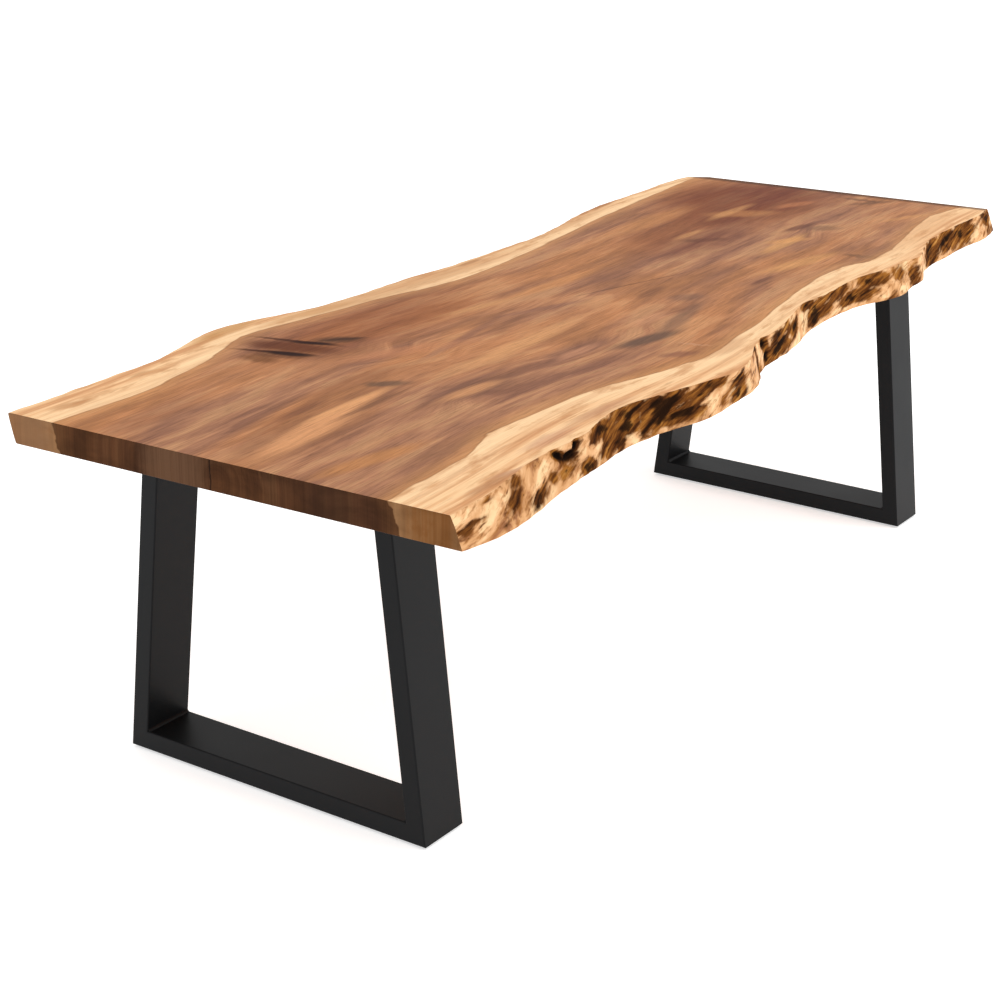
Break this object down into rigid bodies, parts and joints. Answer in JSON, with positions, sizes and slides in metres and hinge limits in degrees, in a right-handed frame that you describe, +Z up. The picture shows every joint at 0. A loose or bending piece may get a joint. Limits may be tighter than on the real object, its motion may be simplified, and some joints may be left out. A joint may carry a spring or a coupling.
{
  "type": "live edge dining table",
  "caption": "Long dining table: a thick solid hardwood slab with natural live edges on black trapezoid frames of rectangular steel tube.",
  "frame": {"origin": "on the floor, under the middle of the slab's bounding box", "axes": "+X along the table, +Y towards the back live edge, +Z up"},
  "size_m": [2.782, 1.13, 0.76],
  "materials": {
    "oiled_hardwood": "satin oil",
    "black_powder_coat": "satin powder coat",
    "zinc_plated_steel": "bright zinc plating",
    "brass": "machined",
    "black_nylon": "moulded"
  },
  "bodies": {
    "table": {"live_edge_slab": "oiled_hardwood", "left_floor_rail": "black_powder_coat", "left_back_post": "black_powder_coat", "left_front_post": "black_powder_coat", "left_top_plate": "black_powder_coat", "left_frame_welds": "black_powder_coat", "left_plate_bolts": "zinc_plated_steel", "left_plate_washers": "zinc_plated_steel", "left_thread_inserts": "brass", "left_rivet_nuts": "zinc_plated_steel", "right_floor_rail": "black_powder_coat", "right_back_post": "black_powder_coat", "right_front_post": "black_powder_coat", "right_top_plate": "black_powder_coat", "right_frame_welds": "black_powder_coat", "right_plate_bolts": "zinc_plated_steel", "right_plate_washers": "zinc_plated_steel", "right_thread_inserts": "brass", "right_rivet_nuts": "zinc_plated_steel"},
    "left_back_glide": {"left_back_glide_pad": "black_nylon", "left_back_glide_stud": "zinc_plated_steel"},
    "left_front_glide": {"left_front_glide_pad": "black_nylon", "left_front_glide_stud": "zinc_plated_steel"},
    "right_back_glide": {"right_back_glide_pad": "black_nylon", "right_back_glide_stud": "zinc_plated_steel"},
    "right_front_glide": {"right_front_glide_pad": "black_nylon", "right_front_glide_stud": "zinc_plated_steel"}
  },
  "joints": [
    {"name": "left_back_glide_height", "type": "slide", "parent": "table", "child": "left_back_glide", "axis": [0, 0, -1], "range_m": [0, 0.01]},
    {"name": "left_front_glide_height", "type": "slide", "parent": "table", "child": "left_front_glide", "axis": [0, 0, -1], "range_m": [0, 0.01]},
    {"name": "right_back_glide_height", "type": "slide", "parent": "table", "child": "right_back_glide", "axis": [0, 0, -1], "range_m": [0, 0.01]},
    {"name": "right_front_glide_height", "type": "slide", "parent": "table", "child": "right_front_glide", "axis": [0, 0, -1], "range_m": [0, 0.01]}
  ]
}
